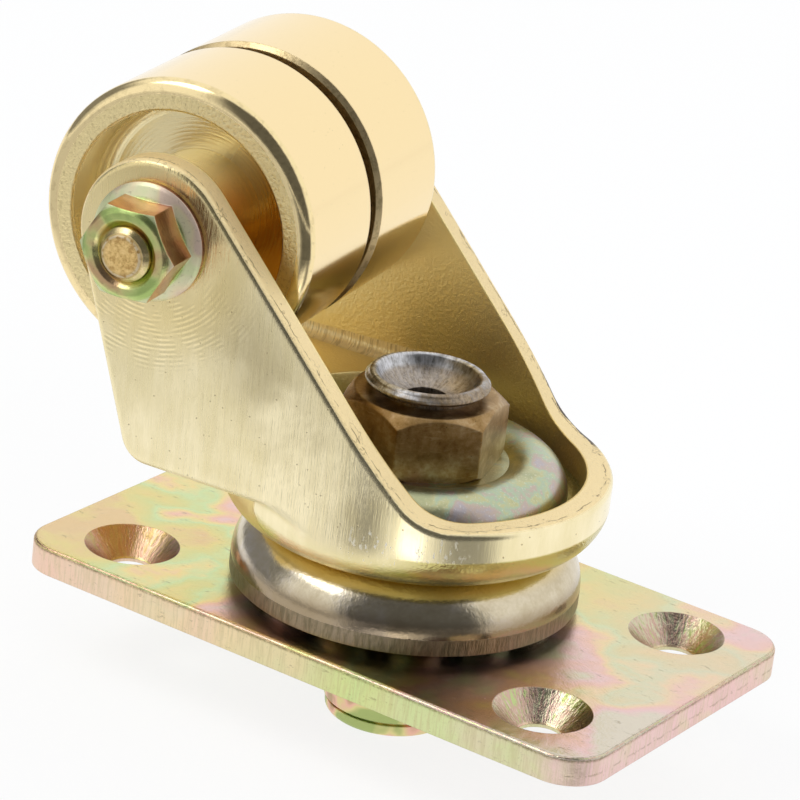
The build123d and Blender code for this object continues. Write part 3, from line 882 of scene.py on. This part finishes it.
@dataclass(frozen=True)
class PressedSteel:
    """Race cup: silver-grey pressed steel, warm above from a painted reflection of the brass fork, darker on
    the lower shoulder from a painted dark reflection, with a serrated sheared band below.
    """

    steel: Stops = ((0.36, (198, 184, 154)), (0.5, (216, 204, 178)), (0.62, (226, 216, 202)))
    # painted reflection of the brass fork on the cup's top
    fork_reflection: Shade = (222, 194, 122)
    # painted dark reflection on the cup's lower shoulder
    shoulder: Shade = (150, 130, 102)
    sheared: Shade = (118, 108, 84)
    band_level: float = 8.5

    def build(self) -> bpy.types.Material:
        """Makes the material."""
        bench = Bench("cup_pressed_steel")
        place = bench.turned_frame(SWIVEL)
        along, across, up = bench.parts(place)
        angle = across.angle_from(along)
        clouds = bench.noise(place, 9.0, 3.0, 0.6)
        fine = bench.noise(place, 0.55, 3.0, 0.6)
        teeth = bench.noise(bench.vector(angle * 26.0, 0.0, up * 0.2), 0.62, 3.0, 0.75)
        band = up.rise(self.band_level + 0.1, self.band_level - 0.1)
        tone = bench.ramp(clouds * 0.8 + fine * 0.2, self.steel)
        # painted reflection: brass tint of the fork on the cup's top
        tone = bench.blend(up.rise(13.0, 15.5) * 0.8, tone, self.fork_reflection)
        # painted dark reflection: the lower shoulder darkened in its colour
        tone = bench.blend(up.rise(12.2, 9.6) * 0.8, tone, self.shoulder)
        tone = bench.blend(band * (0.25 + teeth.rise(0.35, 0.65) * 0.6), tone, self.sheared)
        gloss = 0.09 + fine * 0.08 + band * 0.24 + clouds * 0.06
        height = fine * 0.35 + clouds * 1.5 + (teeth - 0.5) * band * 2.6
        return bench.finish(tone, gloss, bench.relief(height, 0.07, bench.soft_edges(0.25)))


@dataclass(frozen=True)
class IridescentZinc:
    """Axle nut: zinc with green, pink and brown tints, smooth and drifting."""

    front: Stops = (
        (0.4, (164, 186, 112)), (0.47, (188, 204, 130)), (0.52, (210, 206, 142)), (0.6, (206, 172, 130)),
    )
    flats: Stops = ((0.4, (196, 128, 88)), (0.5, (212, 158, 116)), (0.6, (176, 116, 96)))
    flange: Stops = (
        (0.4, (204, 210, 164)), (0.48, (216, 212, 176)), (0.54, (222, 208, 172)), (0.6, (216, 194, 176)),
    )
    stained: Shade = (120, 100, 66)

    def build(self) -> bpy.types.Material:
        """Makes the material."""
        bench = Bench("axle_nut_zinc")
        place = bench.turned_frame(SWIVEL)
        clouds = bench.noise(bench.shifted(place, (2.0, 6.0, 3.0)), 7.0, 2.0, 0.5, 0.5)
        fine = bench.noise(place, 0.5, 3.0, 0.6)
        along, _, up = bench.parts(place)
        _, face_across, _ = bench.parts(bench.turned_frame(SWIVEL, Source.FACING, 1.0))
        radius = bench.axle_radius(along, up)
        flange = radius.rise(6.6, 7.2) * abs(face_across).rise(0.3, 0.5)
        turned = abs(face_across).rise(0.45, 0.25)
        tone = bench.blend(turned * 0.85, bench.ramp(clouds, self.front), bench.ramp(clouds, self.flats))
        tone = bench.blend(flange, tone, bench.ramp(clouds, self.flange))
        tone = bench.blend(fine.rise(0.58, 0.7) * 0.3, tone, self.stained)
        normal = bench.relief(fine, 0.02, bench.soft_edges(0.35))
        return bench.finish(tone, 0.17 + fine * 0.1 + flange * 0.14, normal, 1.0 - flange * 0.25)


@dataclass(frozen=True)
class OchreZinc:
    """Axle bolt: matte ochre on its cut end, yellow zinc elsewhere."""

    ochre: Stops = ((0.36, (184, 146, 86)), (0.5, (218, 184, 118)), (0.62, (232, 202, 140)))
    yellow: Stops = ((0.4, (210, 196, 136)), (0.6, (228, 206, 156)))
    # darker tone for the rim of the end face
    rim_darkening: Shade = (120, 90, 54)
    bare: Shade = (216, 206, 180)
    end_face: float = -37.2

    def build(self) -> bpy.types.Material:
        """Makes the material."""
        bench = Bench("bolt_ochre_zinc")
        place = bench.turned_frame(SWIVEL)
        along, across, up = bench.parts(place)
        radius = bench.axle_radius(along, up)
        end = across.rise(self.end_face, self.end_face - 0.3)
        ring = end * radius.band(2.75, 3.1, 0.08)
        fine = bench.noise(place, 0.5, 3.0, 0.7)
        blots = bench.noise(place, 1.0, 3.0, 0.6)
        tone = bench.ramp(blots * 0.5 + fine * 0.5, self.ochre)
        # darker towards the rim of the end face
        tone = bench.blend(end * radius.rise(2.2, 2.9) * 0.35, tone, self.rim_darkening)
        tone = bench.blend(ring * blots.rise(0.4, 0.5) * 0.55, tone, self.bare)
        tone = bench.blend(end, bench.ramp(blots, self.yellow), tone)
        gloss = 0.18 + end * 0.28 + fine * 0.12
        normal = bench.relief((fine + blots * 0.8) * (0.25 + end * 0.75), 0.06, bench.soft_edges(0.2))
        return bench.finish(tone, gloss, normal, 1.0 - end * 0.35)


@dataclass(frozen=True)
class PlainSteel:
    """Bare bearing steel on the inner pieces."""

    steel: Shade = (150, 146, 138)

    def build(self) -> bpy.types.Material:
        """Makes the material."""
        bench = Bench("inner_plain_steel")
        place = bench.turned_frame(0.0)
        fine = bench.noise(place, 0.8, 2.0, 0.5)
        return bench.finish(self.steel, 0.2 + fine * 0.1, bench.relief(fine, 0.01))


@dataclass
class Studio:
    """Pale floor, soft lamps and the camera at the photograph's angle."""

    camera_place: Triple = (0.305635, -0.492365, 0.271783)
    yaw: float = math.radians(32.1977)
    pitch: float = math.radians(-22.2763)
    roll: float = math.radians(6.8112)
    focal_pixels: float = 4286.1
    photo_width: float = 800.0
    floor_albedo: float = 0.88
    floor_shown: float = 0.84
    floor_mirrored: float = 0.92
    room_tint: Paint = (0.93, 0.96, 1.0, 1.0)
    room_level: float = 0.62
    floor_level: float = -15.8 * MM
    floor_drop: float = 0.2 * MM
    apron_lift: float = 0.4 * MM
    floor_reach: float = 3.0
    canopy_radius: float = 1.4
    canopy_turns: tuple[float, float] = (-8.0, 88.0)
    canopy_rise: tuple[float, float] = (-8.0, 76.0)
    wing_turns: tuple[float, float] = (-118.0, -52.0)
    wing_rise: tuple[float, float] = (-8.0, 34.0)
    window_turns: tuple[float, float] = (-52.0, -19.0)
    window_rise: tuple[float, float] = (38.0, 65.0)
    canopy_depth: float = 0.88
    wing_depth: float = 0.75
    window_gain: float = 2.8
    side_margin: float = 12.0
    low_margin: float = 10.0
    apron_reach: float = 0.9
    apron_shade: float = 0.03
    spot_gain: float = 2.3

    def camera(self) -> None:
        """Sets the camera."""
        ahead = Vector((-math.sin(self.yaw), math.cos(self.yaw), 0.0))
        forward = ahead * math.cos(self.pitch) + Vector((0.0, 0.0, math.sin(self.pitch)))
        right = Vector((math.cos(self.yaw), math.sin(self.yaw), 0.0))
        up = right.cross(forward)
        turned_right = right * math.cos(self.roll) + up * math.sin(self.roll)
        turned_up = up * math.cos(self.roll) - right * math.sin(self.roll)
        lens = bpy.data.cameras.new("camera")
        lens.sensor_fit = "HORIZONTAL"
        lens.sensor_width = 36.0
        lens.lens = lens.sensor_width * self.focal_pixels / self.photo_width
        lens.clip_start = 0.01
        lens.clip_end = 20.0
        camera = bpy.data.objects.new("camera", lens)
        bpy.context.scene.collection.objects.link(camera)
        axes = Matrix((turned_right, turned_up, -forward)).transposed()
        camera.matrix_world = Matrix.Translation(self.camera_place) @ axes.to_4x4()
        bpy.context.scene.camera = camera

    def floor(self) -> None:
        """Lays the pale floor, mostly shown at its own white so that the shadow stays soft."""
        shape = bmesh.new()
        bmesh.ops.create_grid(shape, x_segments=1, y_segments=1, size=self.floor_reach)
        bmesh.ops.translate(shape, verts=shape.verts, vec=(0.0, 0.0, self.floor_level - self.floor_drop))
        bench = Bench("floor_white")
        bench.finish((self.floor_albedo,) * 3 + (1.0,), 0.9, None, 0.0)
        seen, mirrored, through = bench.rays()
        share = (seen.most(through) * self.floor_shown).most(mirrored * self.floor_mirrored)
        bench.show(bench.mixed_shader(share, bench.shader.outputs[0], bench.emission(1.0)))
        self.stand(shape, "floor", bench.material)

    @staticmethod
    def stand(shape: bmesh.types.BMesh, name: str, material: bpy.types.Material) -> bpy.types.Object:
        """Puts a studio piece in the room.

        Args:
            shape: Its mesh in the making, which is freed.
            name: Its name.
            material: Its material.

        Returns:
            The object.
        """
        mesh = bpy.data.meshes.new(name)
        shape.to_mesh(mesh)
        shape.free()
        mesh.materials.append(material)
        piece = bpy.data.objects.new(name, mesh)
        bpy.context.scene.collection.objects.link(piece)
        return piece

    def world(self) -> None:
        """Lights the room evenly and shows it white."""
        world = bpy.data.worlds.new("studio")
        bpy.context.scene.world = world
        world.use_nodes = True
        desk = Desk(world.node_tree)
        seen, mirrored, through = desk.rays()
        plain = desk.tree.nodes["Background"]
        plain.inputs["Color"].default_value = self.room_tint
        plain.inputs["Strength"].default_value = self.room_level
        white = desk.node("ShaderNodeBackground", {}, {"Color": (1.0, 1.0, 1.0, 1.0), "Strength": 1.0})
        mixed = desk.mixed_shader(seen.most(mirrored).most(through), plain.outputs[0], white.outputs[0])
        desk.tree.links.new(mixed, desk.tree.nodes["World Output"].inputs["Surface"])

    @staticmethod
    def lamp(name: str, place: Triple, size: float, power: float) -> None:
        """Hangs one soft lamp that faces the castor and that the metal doesn't mirror.

        Args:
            name: The lamp's name.
            place: Where it hangs, in metres.
            size: The side of its square, in metres.
            power: Its power in watts.
        """
        light = bpy.data.lights.new(name, "AREA")
        light.size = size
        light.energy = power
        lamp = bpy.data.objects.new(name, light)
        bpy.context.scene.collection.objects.link(lamp)
        lamp.visible_glossy = False
        aim = Vector((-0.01, 0.0, 0.03)) - Vector(place)
        lamp.matrix_world = Matrix.Translation(place) @ aim.to_track_quat("-Z", "Y").to_matrix().to_4x4()

    @staticmethod
    def hide(card: bpy.types.Object) -> None:
        """Leaves a studio card to the reflections alone."""
        card.visible_camera = False
        card.visible_diffuse = False
        card.visible_shadow = False
        card.visible_transmission = False

    def holds(self, spot: Vector) -> bool:
        """Tells whether the canopy reaches a spot, with a margin for its soft edges."""
        turn = math.degrees(math.atan2(spot.x, -spot.y))
        rise = math.degrees(math.asin(spot.z / spot.length))
        beside = self.wing_turns[0] - self.side_margin < turn < self.canopy_turns[1] + self.side_margin
        return beside and rise > self.canopy_rise[0] - self.low_margin

    def canopy(self) -> None:
        """Hangs the dark canopy over the camera, with one bright window, that the metal mirrors."""
        shape = bmesh.new()
        bmesh.ops.create_uvsphere(shape, u_segments=48, v_segments=24, radius=self.canopy_radius)
        outside = [face for face in shape.faces if not self.holds(face.calc_center_median())]
        bmesh.ops.delete(shape, geom=outside, context="FACES")
        bench = Bench("canopy_dark")
        x, y, z = bench.parts(bench.turned_frame(0.0, Source.PLACE, 1.0))
        turn = x.angle_from(y * -1.0) * math.degrees(1.0)
        rise = z.angle_from((x * x + y * y).root()) * math.degrees(1.0)
        dark = turn.band(*self.canopy_turns, 9.0) * rise.band(*self.canopy_rise, 7.0)
        window = turn.band(*self.window_turns, 3.0) * rise.band(*self.window_rise, 3.0)
        wing = turn.band(*self.wing_turns, 10.0) * rise.band(*self.wing_rise, 8.0)
        shade = 1.0 - dark * self.canopy_depth - wing * self.wing_depth + window * self.window_gain
        bench.show(bench.emission(shade))
        self.hide(self.stand(shape, "canopy", bench.material))

    def apron(self) -> None:
        """Lays the grey front of the table that the brushed arms mirror."""
        shape = bmesh.new()
        bmesh.ops.create_grid(shape, x_segments=1, y_segments=1, size=self.apron_reach)
        bmesh.ops.translate(shape, verts=shape.verts, vec=(0.0, 0.0, self.floor_level + self.apron_lift))
        bench = Bench("apron_grey")
        x, y, _ = bench.parts(bench.turned_frame(0.0, Source.PLACE, 1.0))
        away = (x * x + y * y).root()
        turn = x.angle_from(y * -1.0) * math.degrees(1.0)
        beside = turn.band(-80.0, 2.0, 6.0) * away.rise(0.135, 0.225) * 0.4
        close = away.rise(0.085, 0.105)
        streaks = turn.band(0.0, 17.0, 7.0).most(turn.band(48.0, 76.0, 8.0)) * close * 0.72
        spot = turn.band(25.0, 40.0, 5.0) * away.band(0.095, 0.132, 0.012)
        beyond = turn.band(8.0, 84.0, 5.0) * away.rise(0.15, 0.2) * 0.9
        grey = beside.most(streaks).most(beyond) * away.rise(self.apron_reach, self.apron_reach - 0.1)
        grey = grey.most(spot)
        clear = bench.node("ShaderNodeBsdfTransparent", {}, {}).outputs[0]
        lit = bench.emission(self.apron_shade + spot * self.spot_gain)
        bench.show(bench.mixed_shader(grey, clear, lit))
        self.hide(self.stand(shape, "apron", bench.material))

    def build(self) -> None:
        """Sets up the whole studio."""
        self.camera()
        self.floor()
        self.world()
        self.lamp("lamp_key", (-0.55, -0.75, 1.15), 0.55, 8.0)
        self.lamp("lamp_fill", (0.9, -0.5, 0.7), 0.7, 4.0)
        self.lamp("lamp_back", (0.2, 0.9, 0.9), 0.7, 4.0)
        self.canopy()
        self.apron()


@dataclass
class PlateGroup:
    """Mounting plate with the kingpin, its nut and the domed washer."""

    plate: PassivatedPlate = field(default_factory=PassivatedPlate)
    pin: WornSteel = field(default_factory=WornSteel)
    nut: DarkBronze = field(default_factory=DarkBronze)
    washer: PaleZinc = field(default_factory=PaleZinc)

    def build(self) -> None:
        """Dresses the group's pieces."""
        dress("mounting_plate", self.plate.build())
        dress("kingpin", self.pin.build())
        dress("kingpin_nut", self.nut.build())
        dress("dome_washer", self.washer.build())


@dataclass
class ForkGroup:
    """Fork with its race cup, axle, nut and washers."""

    brass: ForkBrass = field(default_factory=ForkBrass)
    cup: PressedSteel = field(default_factory=PressedSteel)

    def build(self) -> None:
        """Dresses the group's pieces."""
        dress("fork", self.brass.build())
        dress("lower_race_cup", self.cup.build())
        dress("axle_nut", IridescentZinc().build())
        dress("axle_bolt", OchreZinc().build())
        inner = PlainSteel().build()
        for name in ("axle_sleeve", "centre_washer"):
            dress(name, inner)


@dataclass
class WheelGroup:
    """The two wheels and the washers beside their hubs."""

    brass: WheelBrass = field(default_factory=WheelBrass)

    def build(self) -> None:
        """Dresses the group's pieces."""
        finish = self.brass.build()
        for name in ("near_wheel", "far_wheel", "near_hub_washer", "far_hub_washer"):
            dress(name, finish)


@dataclass
class BallRows:
    """The balls of both races."""

    def build(self) -> None:
        """Dresses every ball."""
        finish = PlainSteel().build()
        for name in sorted(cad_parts):
            if "_ball_" in name:
                dress(name, finish)


def main() -> None:
    """Builds the groups in order."""
    logging.basicConfig(level=logging.INFO)
    bpy.context.scene.view_settings.view_transform = "Standard"
    for group in (Studio(), PlateGroup(), ForkGroup(), WheelGroup(), BallRows()):
        LOG.info("building %s", type(group).__name__)
        group.build()


if __name__ == "__main__":
    main()
